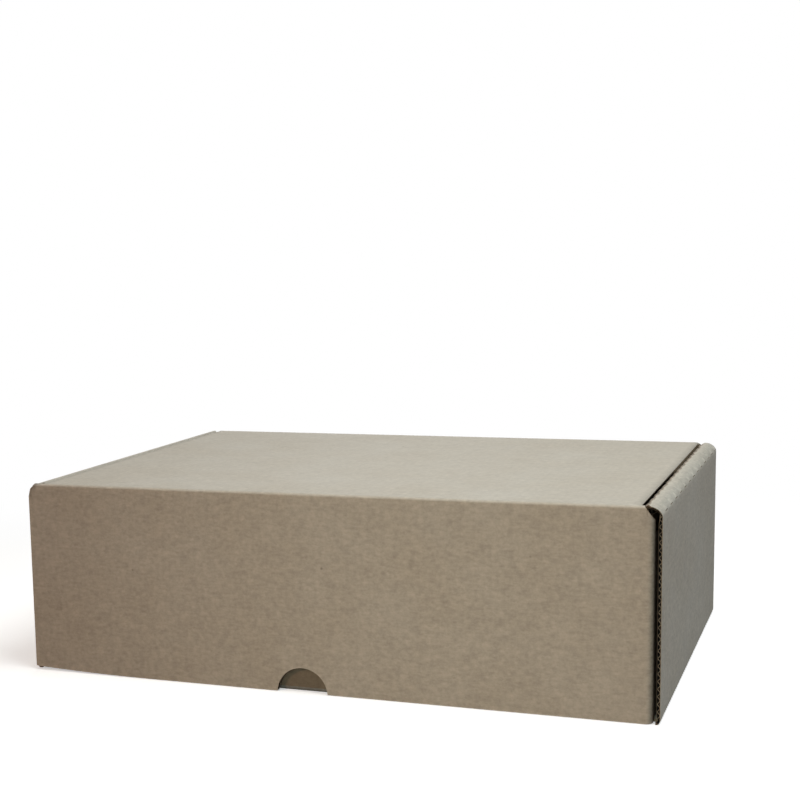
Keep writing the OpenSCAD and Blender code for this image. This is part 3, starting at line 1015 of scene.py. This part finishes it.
foot_x = stretch(-INNER_COLUMN, INNER_COLUMN)
foot = [(x, FRONT + BOARD / 2, flap_foot(x) + WAVE_SUNK) for x in foot_x]
flap_lines = [edge_line(slipped(foot), (0, 1, 0), (0, 0, 1), [x / FLUTE for x in foot_x])]
ear_y = stretch(FRONT + EAR_FOLD_R + 4, EAR_END - 1)
for fold_r in (EAR_FOLD_R, LEFT_FOLD_R):
    for k, way in ((0, 1), (-1, -1)):
        line = [(FLAP_X - EAR_BOARD / 2, y, ear_span(FLAP_X, y, fold_r, SHOULDER_X)[k] + WAVE_SUNK * way)
                for y in ear_y]
        line = line if fold_r == EAR_FOLD_R else mirrored(line)
        flap_lines.append(edge_line(slipped(line), (0.8, 0, 0), (0, 0, way), [y / FLUTE for y in ear_y]))
flap_waves = waves("flap_waves", flap_lines)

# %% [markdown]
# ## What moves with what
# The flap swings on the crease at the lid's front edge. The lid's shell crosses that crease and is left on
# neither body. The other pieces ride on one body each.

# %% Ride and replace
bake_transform(lid_and_front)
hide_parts("tray_and_lid", "front_flap")
for obj in (front_wall, back_wall, bottom, locking_tabs, wall_waves, side_wall_right, side_wall_left):
    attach(obj, "tray")
    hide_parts("tray_and_lid")
for obj in (ear_left, ear_right, flap_waves):
    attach(obj, "flap")
    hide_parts("front_flap")

# %% [markdown]
# ## Camera, floor and light
# The camera stands where the photograph's camera stood, in front and to the right, a little
# above the lid. Its lens and place were found by matching the box's edges. A big soft light
# hangs above, and weaker ones fill the front, the right side and the back. The floor and the
# background could be made white with more light, but that would bleach the paper. So they are
# white only to the camera and in glosses, and the light that reaches the box stays plain.

# %% Camera
PLACE = (0.234825, -0.665514, 0.199938)
FOCAL_PIXELS, PHOTO_WIDTH, SENSOR = 1418.78, 800, 36
YAW, PITCH, ROLL = (math.radians(a) for a in (-19.024, 6.278, -1.082))
ahead = Vector((math.sin(YAW) * math.cos(PITCH), math.cos(YAW) * math.cos(PITCH), -math.sin(PITCH)))
level_right = Vector((math.cos(YAW), -math.sin(YAW), 0))
level_up = level_right.cross(ahead)
right = math.cos(ROLL) * level_right + math.sin(ROLL) * level_up
up = math.cos(ROLL) * level_up - math.sin(ROLL) * level_right
camera = bpy.data.objects.new("camera", bpy.data.cameras.new("camera"))
bpy.context.scene.collection.objects.link(camera)
camera.matrix_world = Matrix.Translation(PLACE) @ Matrix((right, up, -ahead)).transposed().to_4x4()
camera.data.sensor_width = SENSOR
camera.data.lens = SENSOR * FOCAL_PIXELS / PHOTO_WIDTH
camera.data.clip_start = 0.01
bpy.context.scene.camera = camera
bpy.context.scene.view_settings.view_transform = "Standard"
print("lens", round(camera.data.lens, 1), "mm")

# %% Floor and backdrop
def camera_sees(tree):
    """1 for what the camera sees directly or in a gloss, and 0 for light on its way to the box."""
    rays = wire(tree, "ShaderNodeLightPath")
    both = maths(tree, "MAXIMUM", rays.outputs["Is Camera Ray"], rays.outputs["Is Glossy Ray"])
    return maths(tree, "MAXIMUM", both, rays.outputs["Is Transmission Ray"])


FLOOR_TONE, FLOOR_SEEN, FLOOR_GLOW, FLOOR_HALF = 0.20, 0.78, 0.45, 6
floor_mesh = bpy.data.meshes.new("floor")
floor_mesh.from_pydata([(x * FLOOR_HALF, y * FLOOR_HALF, 0) for x, y in ((-1, -1), (1, -1), (1, 1), (-1, 1))],
                       [], [(0, 1, 2, 3)])
floor = bpy.data.objects.new("floor", floor_mesh)
bpy.context.scene.collection.objects.link(floor)
studio = bpy.data.materials.new("studio_floor")
studio.use_nodes = True
tree = studio.node_tree
tree.nodes.clear()
seen = camera_sees(tree)
tone = maths(tree, "MULTIPLY_ADD", seen, FLOOR_SEEN, FLOOR_TONE)
paint = wire(tree, "ShaderNodeCombineColor", {0: tone, 1: tone, 2: tone})
matt = wire(tree, "ShaderNodeBsdfDiffuse", {"Color": paint.outputs[0]})
glow = wire(tree, "ShaderNodeEmission", {"Strength": maths(tree, "MULTIPLY", seen, FLOOR_GLOW)})
lit = wire(tree, "ShaderNodeAddShader", {0: matt.outputs[0], 1: glow.outputs[0]})
place = wire(tree, "ShaderNodeTexCoord").outputs["Object"]
distance = wire(tree, "ShaderNodeVectorMath", {0: place}, operation="LENGTH").outputs["Value"]
far = wire(tree, "ShaderNodeMapRange", {
    "Value": distance, 1: 0.25, 2: 0.5}, interpolation_type="SMOOTHSTEP")
white = wire(tree, "ShaderNodeEmission", {"Strength": 1.0})
faded = wire(tree, "ShaderNodeMixShader", {
    0: maths(tree, "MULTIPLY", far.outputs[0], seen), 1: lit.outputs[0], 2: white.outputs[0]})
wire(tree, "ShaderNodeOutputMaterial", {0: faded.outputs[0]})
floor_mesh.materials.append(studio)
print("floor", 2 * FLOOR_HALF, "m wide")

# %% Sky
SKY_LIGHT, SKY_SEEN = 0.05, 0.95
world = bpy.data.worlds.new("studio")
bpy.context.scene.world = world
world.use_nodes = True
tree = world.node_tree
tree.nodes.clear()
strength = maths(tree, "MULTIPLY_ADD", camera_sees(tree), SKY_SEEN, SKY_LIGHT)
sky = wire(tree, "ShaderNodeBackground", {"Color": (1, 1, 1, 1), "Strength": strength})
wire(tree, "ShaderNodeOutputWorld", {0: sky.outputs[0]})
print("the sky gives", SKY_LIGHT, "of light and", SKY_LIGHT + SKY_SEEN, "to the camera")


# %% Soft lights
def softbox(name, place, target, size, power, colour, spread=180):
    """A square light, size metres wide, aimed at target, with its power in watts."""
    light = bpy.data.lights.new(name, "AREA")
    light.shape = "SQUARE"
    light.size = size
    light.energy = power
    light.color = colour
    light.spread = math.radians(spread)
    obj = bpy.data.objects.new(name, light)
    bpy.context.scene.collection.objects.link(obj)
    obj.location = place
    obj.rotation_euler = (Vector(target) - Vector(place)).to_track_quat("-Z", "Y").to_euler()
    return obj


softbox("overhead", (0.45, -0.15, 1.1), (0.05, -0.02, 0.05), 0.7, 8.98, (0.945, 1.0, 0.99))
softbox("upper_left", (-1.3, -1.9, 1.1), (0.1, -0.095, 0.05), 0.5, 1.49, (1.0, 0.703, 0.568), 50)
softbox("front_fill", (0.1, -0.85, 0.25), (0.07, -0.095, 0.05), 0.2, 0.1, (0.88, 1.0, 0.9), 40)
softbox("side_fill", (1.2, -0.8, 0.4), (0.15, -0.05, 0.05), 0.4, 0.08, (0.88, 0.82, 1.0), 50)
softbox("back_fill", (-0.6, 1.6, 0.3), (-0.05, 0.095, 0.05), 0.5, 1.0, (1.0, 0.97, 0.92), 50)
